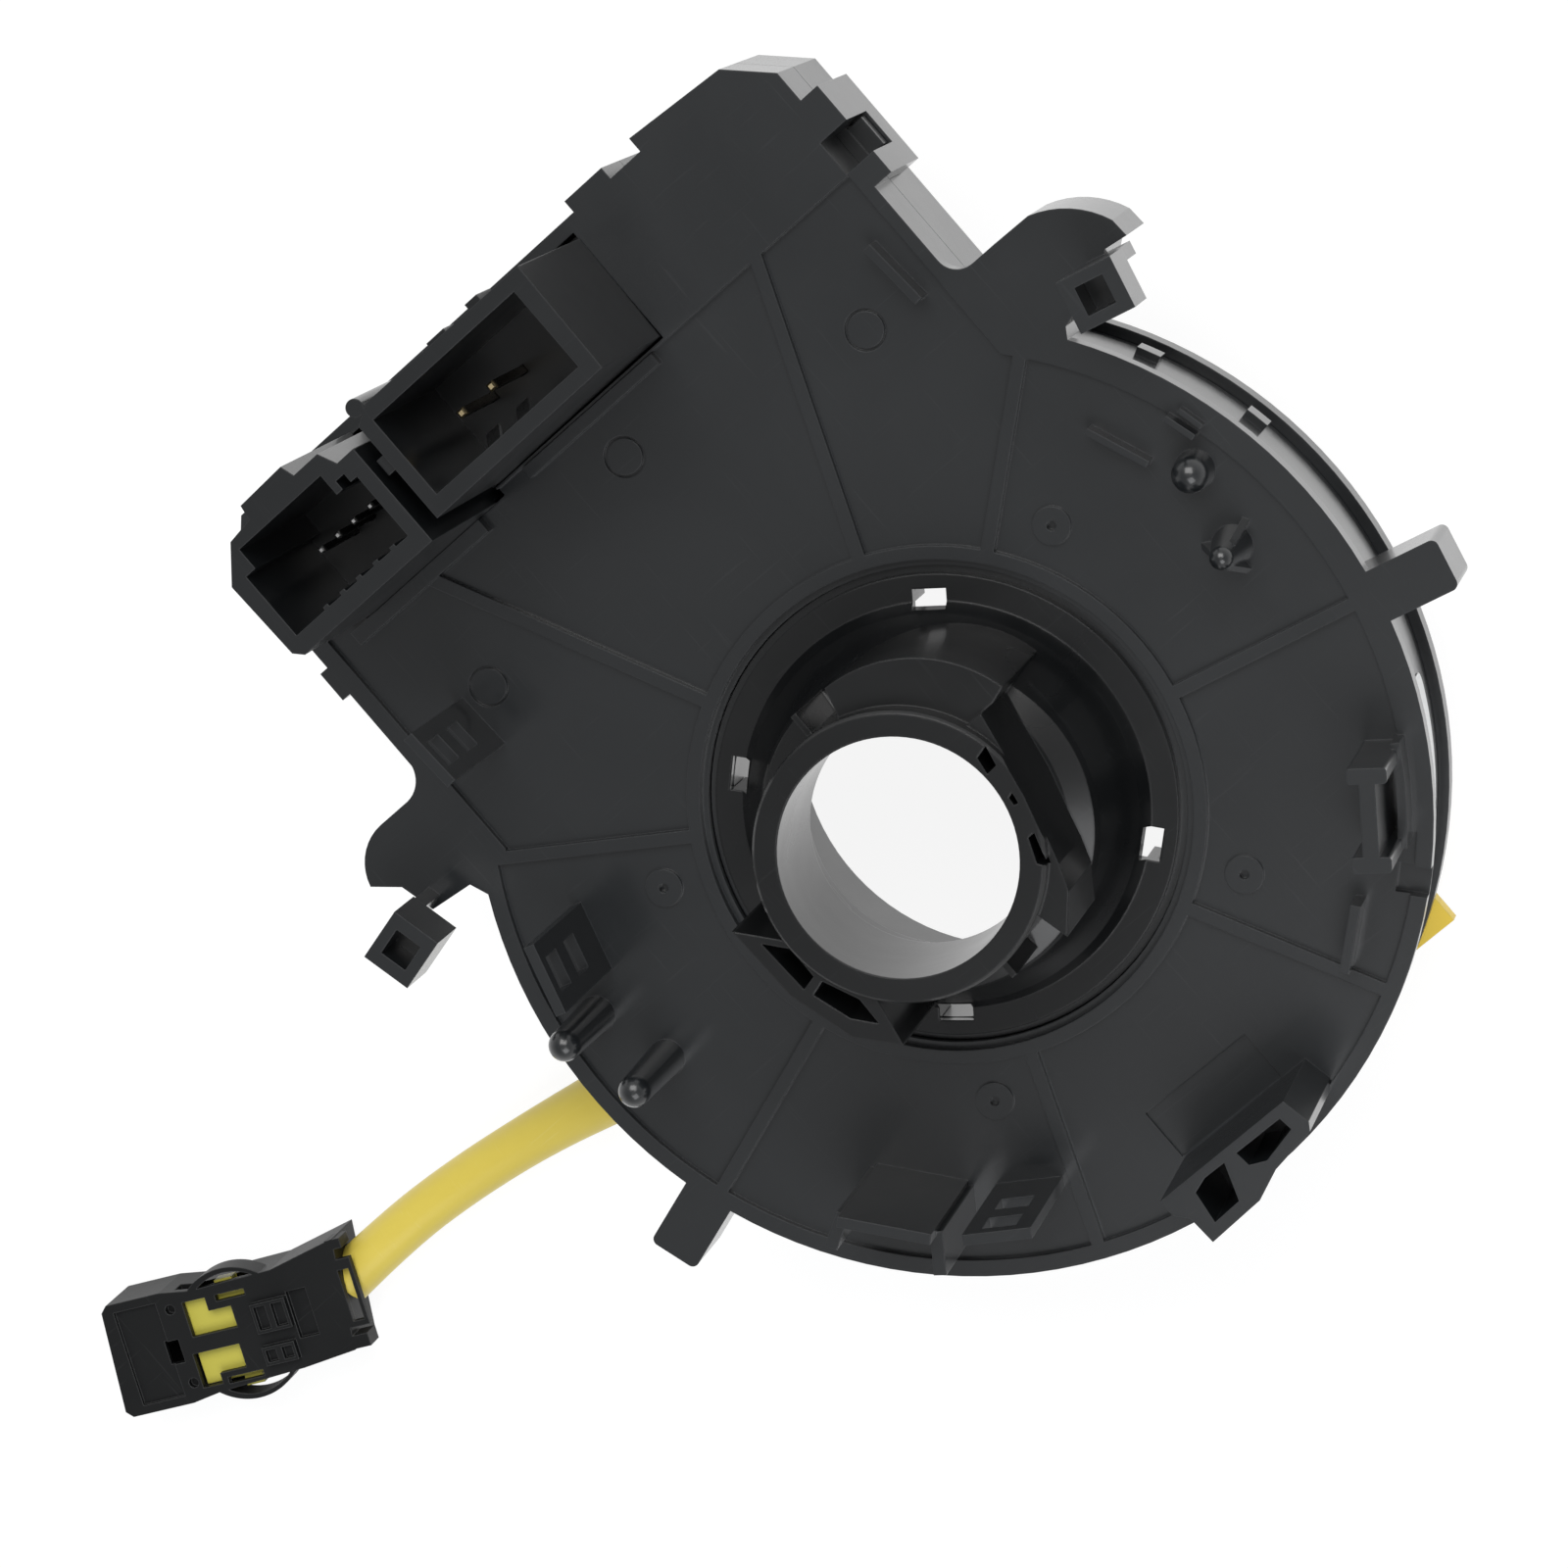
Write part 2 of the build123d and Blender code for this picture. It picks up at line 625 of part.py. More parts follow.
with BuildPart() as small_socket_pins:
    with BuildSketch(Plane.XY.offset(pin_foot)):
        with Locations(*small_pins):
            Rectangle(small_pin, small_pin)
    extrude(amount=pin_tip - pin_foot)
    chamfer(small_socket_pins.faces().group_by(Axis.Z)[-1].edges(), 0.15)
small_socket_pins.part.label = "small_socket_pins"

# Shorting springs in the large socket, seated on its front wall
spring_profile = [(0, 0), (0, 11), (0.4, 11), (2.2, 7.5), (1.9, 7.3), (0.4, 10), (0.4, 0)]
spring_width = 1.8
with BuildPart() as shorting_springs:
    for pin in large_pins:
        foot = (pin[0] - spring_width / 2, large_inner[2], socket_floor)
        prism(spring_profile, Plane(foot, x_dir=(0, 1, 0), z_dir=(1, 0, 0)), spring_width)
shorting_springs.part.label = "shorting_springs"

# Rotor: the closing disc and the tube that turns in the case
gusset_azimuths = range(20, 380, 40)
gusset_corners = [(0, 0.5), (6, 0.5), (6, -1.5), (2, -8), (0, -8)]
gusset_thickness = 1.4
with BuildPart() as rotor_disc:
    with BuildSketch(Plane.XZ):
        with BuildLine():
            Polyline(
                (tube_bore_radius, 0),
                (tube_radius, 0),
                (tube_radius, rotor_disc_bottom),
                (rotor_radius, rotor_disc_bottom),
                (rotor_radius, rotor_disc_top),
                (tube_radius, rotor_disc_top),
                (tube_radius, tube_top),
                (tube_bore_radius, tube_top),
                close=True,
            )
        make_face()
    revolve(axis=Axis.Z)
    # Gussets between the tube and the disc on the wheel side
    for azimuth in gusset_azimuths:
        foot = upright(polar(tube_radius - 0.5, azimuth), azimuth, rotor_disc_bottom)
        prism(gusset_corners, foot, gusset_thickness)
rotor_disc.part.label = "rotor_disc"

# Cancel cam sleeve: glossy flange on the tube, drum, bore tube and two cam lobes
flange_top = tube_top + sleeve_flange_thickness
arc_lobe_top = mouth_height - 2.5
flank_points = [(16.4, 5.8), (14.6, -3.5), (12.3, -11.2), (11.2, -14.0)]
right_lobe = flank_points + [(7.9, -17.5), (6.8, -13.2), (8.2, 5.8)]
right_flank = flank_points + [(22.0, -14.0), (22.0, 5.8)]
right_lobe_pockets = [
    [(15.0, 3.0), (14.5, 0.8), (13.2, 0.7), (13.5, 2.6)],
    [(13.9, -2.4), (13.7, -3.6), (13.2, -3.5), (13.3, -2.6)],
    [(12.9, -7.0), (11.7, -10.6), (11.0, -9.6), (12.1, -7.0)],
]
left_lobe = [
    (-19.5, 5.2),
    (-14.9, 0.0),
    (-13.3, -5.0),
    (-11.9, -8.2),
    (-13.3, -15.4),
    (-17.0, -11.4),
    (-19.2, -4.0),
]
left_lobe_pockets = [
    [(-17.9, 2.2), (-15.8, -0.2), (-15.9, -3.9), (-17.6, -4.3)],
    [(-17.2, -5.4), (-15.5, -4.9), (-13.7, -8.8), (-13.8, -12.0), (-15.8, -9.7)],
]
pocket_floor = sleeve_drum_top + 4.0
lobe_bottom = sleeve_drum_top - 4.0
sleeve_shoulder = sleeve_bore_bottom + 0.4
side_stops = [(0.2, 15.0, 0.9, 18.2), (0.0, -17.3, 0.7, -14.9)]
with BuildPart() as cancel_cam_sleeve:
    with BuildSketch(Plane.XZ):
        with BuildLine():
            Polyline(
                (sleeve_bore_radius, mouth_height),
                (sleeve_tube_radius - 0.3, mouth_height),
                (sleeve_tube_radius, mouth_height - 0.3),
                (sleeve_tube_radius, sleeve_drum_top),
                (sleeve_drum_radius, sleeve_drum_top - 0.8),
                (sleeve_drum_radius + 0.4, sleeve_drum_top - 2.0),
                (sleeve_drum_radius + 3.4, flange_top + 1.6),
                (sleeve_drum_radius + 4.4, flange_top),
                (sleeve_flange_radius, flange_top),
                (sleeve_flange_radius, tube_top),
                (tube_bore_radius - 0.1, tube_top),
                (tube_bore_radius - 0.1, tube_top - 5),
                (tube_bore_radius - 1.4, tube_top - 5),
                (tube_bore_radius - 1.4, tube_top),
                (sleeve_counterbore_radius + 1.4, tube_top),
                (sleeve_counterbore_radius, tube_top + 2),
                (sleeve_counterbore_radius, sleeve_bore_bottom),
                (sleeve_bore_radius, sleeve_bore_bottom),
                close=True,
            )
        make_face()
    revolve(axis=Axis.Z)
    # Raised arc whose radius grows from one end to the other
    with BuildSketch(Plane.XY.offset(flange_top + 2)):
        with BuildLine():
            ThreePointArc(polar(18.9, 74), polar(20.4, 52), polar(20.8, 18))
            Line(polar(20.8, 18), polar(sleeve_tube_radius - 1, 18))
            CenterArc((0, 0), sleeve_tube_radius - 1, 18, 56)
            Line(polar(sleeve_tube_radius - 1, 74), polar(18.9, 74))
        make_face()
    extrude(amount=arc_lobe_top - flange_top - 2)
    # Right lobe with its flat flank, and left lobe, both hollowed between ribs. Each
    # stands clear of the counterbore up to the bore's shoulder
    for lobe, bottom in ((right_lobe, lobe_bottom), (left_lobe, flange_top)):
        storeys = (
            (bottom, sleeve_shoulder, sleeve_counterbore_radius + 0.4),
            (sleeve_shoulder, mouth_height - 1.5, sleeve_bore_radius + 1.3),
        )
        for low, high, inner_radius in storeys:
            with BuildSketch(Plane.XY.offset(low)):
                with BuildLine():
                    Polyline(*lobe, close=True)
                make_face()
                Circle(inner_radius, mode=Mode.SUBTRACT)
            extrude(amount=high - low)
    prism(right_flank, Plane.XY.offset(sleeve_drum_top), mouth_height, Mode.SUBTRACT)
    for corners in right_lobe_pockets + left_lobe_pockets:
        prism(corners, Plane.XY.offset(pocket_floor), mouth_height, Mode.SUBTRACT)
    # Low stops beside the tube, which leave a pocket against each lobe
    for left, front, right, back in side_stops:
        block(left, right, front, back, sleeve_drum_top - 2, mouth_height - 3.0)
    # Windows in the flange, with the skirt cut away below them
    with BuildSketch(Plane.XY.offset(tube_top - 6)):
        for azimuth in sleeve_window_azimuths:
            with PolarLocations(sleeve_window_radius, 1, start_angle=azimuth):
                Rectangle(*sleeve_window)
    extrude(amount=10, mode=Mode.SUBTRACT)
    # Key tab below the bore
    key_left = -sleeve_bore_radius - 2.5
    block(key_left, key_left + 2.4, -1.7, 1.7, sleeve_bore_bottom - 1, sleeve_bore_bottom + 1)
cancel_cam_sleeve.part.label = "cancel_cam_sleeve"

# Wheel-side socket for the steering wheel harness
wheel_socket_centre = (0, tube_radius + 12.3)
wheel_socket_size = (18.0, 9.4)
wheel_socket_bottom = 0.8
wheel_socket_wall = 1.5
wheel_socket_depth = 8.8
wheel_pins = [(-4.5 + 3.0 * index, wheel_socket_centre[1]) for index in range(4)]
with BuildPart() as wheel_harness_socket:
    with BuildSketch(Plane.XY.offset(wheel_socket_bottom)):
        with Locations(wheel_socket_centre):
            RectangleRounded(*wheel_socket_size, 0.8)
    extrude(amount=rotor_disc_bottom - wheel_socket_bottom)
    with BuildSketch(Plane.XY.offset(wheel_socket_bottom)):
        with Locations(wheel_socket_centre):
            Rectangle(*[size - 2 * wheel_socket_wall for size in wheel_socket_size])
    extrude(amount=wheel_socket_depth, mode=Mode.SUBTRACT)
    with BuildSketch(Plane.XY.offset(wheel_socket_bottom)):
        with Locations(*wheel_pins):
            Rectangle(small_pin + 2 * pin_clearance, small_pin + 2 * pin_clearance)
    extrude(amount=rotor_disc_bottom, mode=Mode.SUBTRACT)
wheel_harness_socket.part.label = "wheel_harness_socket"

with BuildPart() as wheel_socket_pins:
    with BuildSketch(Plane.XY.offset(wheel_socket_bottom + 3)):
        with Locations(*wheel_pins):
            Rectangle(small_pin, small_pin)
    extrude(amount=rotor_disc_bottom - wheel_socket_bottom - 3)
wheel_socket_pins.part.label = "wheel_socket_pins"

# Pigtail: route of its middle line, from the strain relief to the squib connector
pigtail_route = [
    (-45.0, -4.6, 4.9),
    (-53.5, -3.6, 4.4),
    (-62.5, -1.9, 3.5),
    (-73.0, 0.1, 3.1),
    (-84.0, 1.5, 3.1),
    (-94.5, 2.0, 3.4),
    (-103.5, 1.4, 3.8),
]


def route_radii(points):
    """Largest arc that both runs beside each corner leave room for."""
    radii = []
    for before, here, after in zip(points, points[1:], points[2:]):
        first = Vector(here) - Vector(before)
        second = Vector(after) - Vector(here)
        half_turn = radians(first.get_angle(second)) / 2
        radii.append(0.45 * min(first.length, second.length) / tan(half_turn))
    return radii


pigtail_radii = route_radii(pigtail_route)
print("pigtail arc radii", [round(radius, 1) for radius in pigtail_radii])
with BuildPart() as pigtail_sleeve:
    with BuildLine():
        route = FilletPolyline(*pigtail_route, radius=pigtail_radii)
    with BuildSketch(route ^ 0):
        Circle(sleeve_diameter / 2)
    sweep()
straight_volume = pi * (sleeve_diameter / 2) ** 2 * route.length
volume_ratio = pigtail_sleeve.part.volume / straight_volume
print("pigtail length", round(route.length, 1), "volume ratio", round(volume_ratio, 4))
pigtail_sleeve.part.label = "pigtail_sleeve"

# Strain relief of the pigtail under the rotor
start_point = Vector(pigtail_route[0])
start_direction = (Vector(pigtail_route[1]) - start_point).normalized()
relief_size = (11.0, 10.0)
relief_bottom = 1.0
with BuildPart() as pigtail_strain_relief:
    heading = degrees(atan2(start_direction.Y, start_direction.X))
    with BuildSketch(level((start_point.X + 1.5, start_point.Y), heading, relief_bottom)):
        RectangleRounded(*relief_size, 1)
    extrude(amount=rotor_disc_bottom - relief_bottom)
    with BuildSketch(Plane(origin=start_point, z_dir=start_direction)):
        Circle(sleeve_diameter / 2 + gland_clearance)
    extrude(amount=20, mode=Mode.SUBTRACT)
pigtail_strain_relief.part.label = "pigtail_strain_relief"

# Squib connector: outline and features in its own plane, x towards the nose
squib_rear = (-103.4, -1.2)
squib_heading = 155.3
squib_bottom = 0.1
squib_height = 8.0
squib_nose = (23.0, 31.3)
squib_half_width = 7.0
squib_slant = 0.5
squib_outline = [
    (-0.2, -8.5),
    (8.5, -6.6),
    (19.0, -6.4),
    (squib_nose[0], -squib_half_width),
    (squib_nose[1] - squib_slant - 0.8, -squib_half_width),
    (squib_nose[1] - squib_slant, -squib_half_width + 0.8),
    (squib_nose[1] + squib_slant, squib_half_width - 0.8),
    (squib_nose[1] + squib_slant - 0.8, squib_half_width),
    (squib_nose[0], squib_half_width),
    (19.0, 6.4),
    (8.0, 5.9),
    (1.2, 5.2),
]
squib_mouth = (5.6, 11.2)
squib_mouth_depth = 9.0
cover_thickness = 0.9
lock_thickness = 1.8
lock_travel = 2.0
lock_clearance = 0.25
lock_end_gap = 0.3
lock_front = 21.0
lock_rear = 12.6
lock_half_width = 5.4
lock_leg = (13.9, 16.2)
lock_leg_reach = 6.7
lock_windows = [
    [(14.6, -0.8), (14.6, -3.5), (17.5, -3.5), (17.5, -5.2), (20.5, -5.2), (20.5, -0.8)],
    [(15.1, 1.2), (15.1, 4.2), (18.6, 4.2), (18.6, 5.5), (21.2, 5.5), (21.2, 1.2)],
    [(12.4, -5.2), (12.4, -4.4), (16.2, -4.4), (16.2, -5.2)],
    [(13.2, 4.9), (13.2, 5.7), (17.8, 5.7), (17.8, 4.9)],
]
guard_outer = [(19.6, 6.3), (14.4, 8.2), (9.4, 6.1)]
guard_inner = [(18.8, 5.9), (14.4, 7.6), (9.9, 5.9)]
latch_blocks = [(7.5, 12.0, -3.2, 0.5), (8.0, 12.2, 2.2, 4.5)]
latch_block_height = 0.9
latch_pocket_wall = 0.4
latch_recess = (4.9, 7.4, -3.6, 2.3)
nose_recess = (squib_nose[0] + 0.8, squib_nose[1] - 2.0, -5.9, 5.9)
nose_slot = (squib_nose[0] - 0.6, squib_nose[0] + 1.4, -1.0, 1.9)
nose_holes = [(squib_nose[0] - 0.8, -4.7), (squib_nose[0] - 0.8, 4.6)]
rear_loop = (-1.6, 1.2, -5.9, 2.5)
rear_slot = (-1.1, 0.3, -4.6, 1.8)
rear_lugs = [(-1.1, 0.8, -8.4, -7.2), (-0.9, 1.3, 3.5, 5.1)]
squib_plane = level(squib_rear, squib_heading, squib_bottom)
cavity_top = squib_height - cover_thickness
cavity_bottom = cavity_top - lock_thickness - 2 * lock_clearance
end_point = Vector(pigtail_route[-1])
end_direction = (Vector(pigtail_route[-2]) - end_point).normalized()


def squib_block(left, right, front, back, bottom, top, mode=Mode.ADD):
    """Rectangular solid in the squib connector's own plane."""
    with BuildSketch(squib_plane.offset(bottom)) as base:
        rectangle_between(left, right, front, back)
    extrude(base.sketch, amount=top - bottom, mode=mode)


with BuildPart() as squib_connector_housing:
    prism(squib_outline, squib_plane, squib_height)
    # Rear loop with its slot, and the two corner lugs
    squib_block(*rear_loop, cavity_top, squib_height)
    squib_block(*rear_slot, cavity_top, squib_height, Mode.SUBTRACT)
    for lug in rear_lugs:
        squib_block(*lug, squib_height - 3.0, squib_height)
    with BuildSketch(Plane(origin=end_point, z_dir=end_direction)):
        Circle(sleeve_diameter / 2 + gland_clearance)
    extrude(amount=20, mode=Mode.SUBTRACT)
    # Nose opening, and the recess, slot and holes on the nose
    mouth_centre = squib_plane.from_local_coords((squib_nose[1], 0, squib_height / 2))
    with BuildSketch(Plane(mouth_centre, x_dir=(0, 0, 1), z_dir=squib_plane.x_dir)):
        Rectangle(*squib_mouth)
    extrude(amount=-squib_mouth_depth, mode=Mode.SUBTRACT)
    squib_block(*nose_recess, squib_height - 0.5, squib_height, Mode.SUBTRACT)
    squib_block(*nose_slot, squib_height - 2.5, squib_height, Mode.SUBTRACT)
    with BuildSketch(squib_plane.offset(squib_height)):
        with Locations(*nose_holes):
            Circle(0.6)
    extrude(amount=-0.8, mode=Mode.SUBTRACT)
    # Cavity of the lock, open at both sides, under a cover with windows
    cavity_ends = (lock_rear - lock_travel - lock_end_gap, lock_front + lock_end_gap)
    cavity_sides = (-squib_half_width, squib_half_width)
    squib_block(*cavity_ends, *cavity_sides, cavity_bottom, cavity_top, Mode.SUBTRACT)
    for corners in lock_windows:
        prism(corners, squib_plane.offset(cavity_top), cover_thickness, Mode.SUBTRACT)
    # Raised latch blocks, each with two pockets, and the recess behind them
    for left, right, front, back in latch_blocks:
        latch_top = squib_height + latch_block_height
        squib_block(left, right, front, back, squib_height, latch_top)
        half = (left + right) / 2
        for pocket_left, pocket_right in ((left, half), (half, right)):
            ends = (pocket_left + latch_pocket_wall, pocket_right - latch_pocket_wall)
            sides = (front + latch_pocket_wall, back - latch_pocket_wall)
            squib_block(*ends, *sides, squib_height + 0.2, latch_top, Mode.SUBTRACT)
    squib_block(*latch_recess, squib_height - 0.7, squib_height, Mode.SUBTRACT)
    # Curved guards at both sides of the lock's legs
    for side in (-1, 1):
        with BuildSketch(squib_plane.offset(cavity_bottom)) as guard:
            with BuildLine():
                outside = ThreePointArc(*[(along, side * across) for along, across in guard_outer])
                inside = ThreePointArc(*[(along, side * across) for along, across in guard_inner])
                Line(outside @ 0, inside @ 0)
                Line(outside @ 1, inside @ 1)
            make_face()
        extrude(guard.sketch, amount=squib_height - cavity_bottom)
squib_connector_housing.part.label = "squib_connector_housing"

# Lock of the squib connector: a plate under the cover, which shows in its windows, with two legs
with BuildPart() as squib_connector_lock:
    lock_bottom = cavity_bottom + lock_clearance
    lock_top = lock_bottom + lock_thickness
    squib_block(lock_rear, lock_front, -lock_half_width, lock_half_width, lock_bottom, lock_top)
    for side in (-1, 1):
        inner, outer = sorted((side * (lock_half_width - 0.2), side * lock_leg_reach))
        squib_block(*lock_leg, inner, outer, lock_bottom, lock_top)
squib_connector_lock.part.label = "squib_connector_lock"

# Transit lock tab under the rotor's rim
tab_box = (13.5, 29.1, -46.3, -35.0)
transit_tab_thickness = 2.2
with BuildPart() as transit_lock_tab:
    block(*tab_box, rotor_disc_bottom - transit_tab_thickness, rotor_disc_bottom)
transit_lock_tab.part.label = "transit_lock_tab"

os.makedirs("parts", exist_ok=True)
pieces = (
    column_side_case,
    wheel_side_case,
    slip_sheet_column_side,
    slip_sheet_wheel_side,
    ribbon_cable,
    rotor_ribbon_holder,
    stator_ribbon_holder,
    column_connector,
    large_socket_pins,
    small_socket_pins,
    shorting_springs,
    rotor_disc,
    cancel_cam_sleeve,
    wheel_harness_socket,
    wheel_socket_pins,
    pigtail_sleeve,
    pigtail_strain_relief,
    squib_connector_housing,
    squib_connector_lock,
    transit_lock_tab,
)
for piece in pieces:
    export_step(piece.part, f"parts/{piece.part.label}.step")
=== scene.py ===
import math

import bmesh
import bpy
from mathutils import Matrix, Vector


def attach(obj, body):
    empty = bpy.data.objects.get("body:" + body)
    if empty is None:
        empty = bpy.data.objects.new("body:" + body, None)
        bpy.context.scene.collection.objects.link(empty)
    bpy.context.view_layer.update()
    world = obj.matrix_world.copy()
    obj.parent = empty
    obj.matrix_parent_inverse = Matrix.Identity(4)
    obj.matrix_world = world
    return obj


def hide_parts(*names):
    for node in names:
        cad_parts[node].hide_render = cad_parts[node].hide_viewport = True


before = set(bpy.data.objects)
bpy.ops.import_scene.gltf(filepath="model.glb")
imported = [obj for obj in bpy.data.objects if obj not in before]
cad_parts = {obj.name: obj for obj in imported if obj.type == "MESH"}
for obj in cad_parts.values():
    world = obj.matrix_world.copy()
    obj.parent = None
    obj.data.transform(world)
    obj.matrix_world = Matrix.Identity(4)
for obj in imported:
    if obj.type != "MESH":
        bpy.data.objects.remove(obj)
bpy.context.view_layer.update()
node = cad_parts
scene = bpy.context.scene


# The view: the part lies wheel side down on a white table. It is seen through a
# long lens, almost straight from above the column side.
view_place = (0.1688, 0.0214, 0.5852)
view_right = Vector((0.72358, -0.65170, -0.22741))
view_up = Vector((0.61592, 0.75834, -0.21347))
view_back = Vector((0.31158, 0.01440, 0.95011))
view_turn = Matrix((view_right, view_up, view_back)).transposed()
camera_data = bpy.data.cameras.new("view")
camera_data.lens = 123.4
camera_data.sensor_width = 36.0
camera_data.clip_start = 0.01
camera = bpy.data.objects.new("view", camera_data)
camera.matrix_world = Matrix.Translation(view_place) @ view_turn.to_4x4()
scene.collection.objects.link(camera)
scene.camera = camera
scene.view_settings.view_transform = "Standard"


# The studio: soft light comes from all around. The camera sees plain white, and
# shiny skins mirror white walls that grow dimmer from the horizon to the ceiling.
room_tint = (0.95, 0.97, 1.0, 1)
room_strength = 0.36
wall_strength = 1.0
ceiling_strength = 0.36
wall_top = 0.1
ceiling_bottom = 0.7


def place_node(tree, kind, inputs=None, **settings):
    made = tree.nodes.new(kind)
    for name, value in settings.items():
        setattr(made, name, value)
    for socket, value in (inputs or {}).items():
        made.inputs[socket].default_value = value
    return made


def shown_rays(tree):
    path = place_node(tree, "ShaderNodeLightPath")
    mirror = place_node(tree, "ShaderNodeMath", operation="MAXIMUM")
    tree.links.new(path.outputs["Is Glossy Ray"], mirror.inputs[0])
    tree.links.new(path.outputs["Is Transmission Ray"], mirror.inputs[1])
    shown = place_node(tree, "ShaderNodeMath", operation="MAXIMUM")
    tree.links.new(path.outputs["Is Camera Ray"], shown.inputs[0])
    tree.links.new(mirror.outputs[0], shown.inputs[1])
    return path, shown


world = bpy.data.worlds.new("studio")
scene.world = world
world.use_nodes = True
sky = world.node_tree
sky.nodes.clear()
sky_path, sky_shown = shown_rays(sky)
room = place_node(sky, "ShaderNodeBackground", {"Color": room_tint, "Strength": room_strength})
backdrop = place_node(sky, "ShaderNodeBackground", {"Color": (1, 1, 1, 1)})
sky_way = place_node(sky, "ShaderNodeTexCoord")
sky_height = place_node(sky, "ShaderNodeSeparateXYZ")
walls = place_node(sky, "ShaderNodeMapRange",
                   {"From Min": wall_top, "From Max": ceiling_bottom,
                    "To Min": wall_strength, "To Max": ceiling_strength})
backdrop_strength = place_node(sky, "ShaderNodeMath", operation="MAXIMUM")
sky_choice = place_node(sky, "ShaderNodeMixShader")
sky_out = place_node(sky, "ShaderNodeOutputWorld")
sky.links.new(sky_way.outputs["Generated"], sky_height.inputs[0])
sky.links.new(sky_height.outputs["Z"], walls.inputs["Value"])
sky.links.new(walls.outputs["Result"], backdrop_strength.inputs[0])
sky.links.new(sky_path.outputs["Is Camera Ray"], backdrop_strength.inputs[1])
sky.links.new(backdrop_strength.outputs[0], backdrop.inputs["Strength"])
sky.links.new(sky_shown.outputs[0], sky_choice.inputs[0])
sky.links.new(room.outputs[0], sky_choice.inputs[1])
sky.links.new(backdrop.outputs[0], sky_choice.inputs[2])
sky.links.new(sky_choice.outputs[0], sky_out.inputs[0])


# The table: a white sheet under the part. To the camera and to shiny skins it is
# almost plain white with a weak shadow, and to the soft light it is white paint.
table_half = 1.6
table_albedo = 0.9
table_shade_albedo = 0.16
table_glow = 0.9
table_mesh = bpy.data.meshes.new("table")
table_mesh.from_pydata(
    [(-table_half, -table_half, 0), (table_half, -table_half, 0),
     (table_half, table_half, 0), (-table_half, table_half, 0)],
    [], [(0, 1, 2, 3)])
table = bpy.data.objects.new("table", table_mesh)
scene.collection.objects.link(table)
table_paint = bpy.data.materials.new("white_table")
table_paint.use_nodes = True
table_tree = table_paint.node_tree
table_tree.nodes.clear()
_, table_shown = shown_rays(table_tree)
table_white = place_node(table_tree, "ShaderNodeBsdfDiffuse", {"Color": (*[table_albedo] * 3, 1)})
table_shade = place_node(table_tree, "ShaderNodeBsdfDiffuse",
                         {"Color": (*[table_shade_albedo] * 3, 1)})
table_lift = place_node(table_tree, "ShaderNodeEmission",
                        {"Color": (1, 1, 1, 1), "Strength": table_glow})
table_seen = place_node(table_tree, "ShaderNodeAddShader")
table_choice = place_node(table_tree, "ShaderNodeMixShader")
table_out = place_node(table_tree, "ShaderNodeOutputMaterial")
table_tree.links.new(table_shade.outputs[0], table_seen.inputs[0])
table_tree.links.new(table_lift.outputs[0], table_seen.inputs[1])
table_tree.links.new(table_shown.outputs[0], table_choice.inputs[0])
table_tree.links.new(table_white.outputs[0], table_choice.inputs[1])
table_tree.links.new(table_seen.outputs[0], table_choice.inputs[2])
table_tree.links.new(table_choice.outputs[0], table_out.inputs["Surface"])
table_mesh.materials.append(table_paint)


# The lamps: two wide soft panels, a warm one high up on the block's side and a
# weaker, cooler one on the opposite side. Both aim at the middle of the part.
lamp_target = Vector((0, 0, 0.02))


def hang_lamp(name, place, size, power, tint):
    lamp_data = bpy.data.lights.new(name, "AREA")
    lamp_data.shape = "RECTANGLE"
    lamp_data.size, lamp_data.size_y = size
    lamp_data.energy = power
    lamp_data.color = tint
    lamp = bpy.data.objects.new(name, lamp_data)
    scene.collection.objects.link(lamp)
    aim = Vector(place) - lamp_target
    lamp.matrix_world = Matrix.Translation(place) @ aim.to_track_quat("Z", "Y").to_matrix().to_4x4()


hang_lamp("wide_lamp", place=(0.45, 0.55, 1.0), size=(0.9, 0.7), power=10.0, tint=(1.0, 0.99, 0.98))
hang_lamp("side_lamp", place=(-0.08, -0.62, 1.03), size=(0.7, 0.7), power=5.0, tint=(0.97, 0.98, 1.0))


# The column side case: the black glass-filled cover with the ears, tabs and ribs.
# It is moulded in one piece, so its skin has a fine dull grain, slightly lighter
# where the melt flowed thin, and rounded edges that catch the light, with a pale
# painted highlight laid into their colour.
def moulding_grain_group():
    group = bpy.data.node_groups.new("moulding_grain", "ShaderNodeTree")
    face = group.interface
    face.new_socket("Grain Scale", in_out="INPUT", socket_type="NodeSocketFloat")
    face.new_socket("Flow Scale", in_out="INPUT", socket_type="NodeSocketFloat")
    face.new_socket("Grain", in_out="OUTPUT", socket_type="NodeSocketFloat")
    face.new_socket("Flow", in_out="OUTPUT", socket_type="NodeSocketFloat")
    start = place_node(group, "NodeGroupInput")
    end = place_node(group, "NodeGroupOutput")
    coords = place_node(group, "ShaderNodeTexCoord")
    grain = place_node(group, "ShaderNodeTexNoise", {"Detail": 3.0, "Roughness": 0.6})
    flow = place_node(group, "ShaderNodeTexNoise", {"Detail": 4.0, "Roughness": 0.55, "Distortion": 0.6})
    for noise, name in ((grain, "Grain"), (flow, "Flow")):
        group.links.new(coords.outputs["Object"], noise.inputs["Vector"])
        group.links.new(start.outputs[name + " Scale"], noise.inputs["Scale"])
        group.links.new(noise.outputs["Fac"], end.inputs[name])
    return group
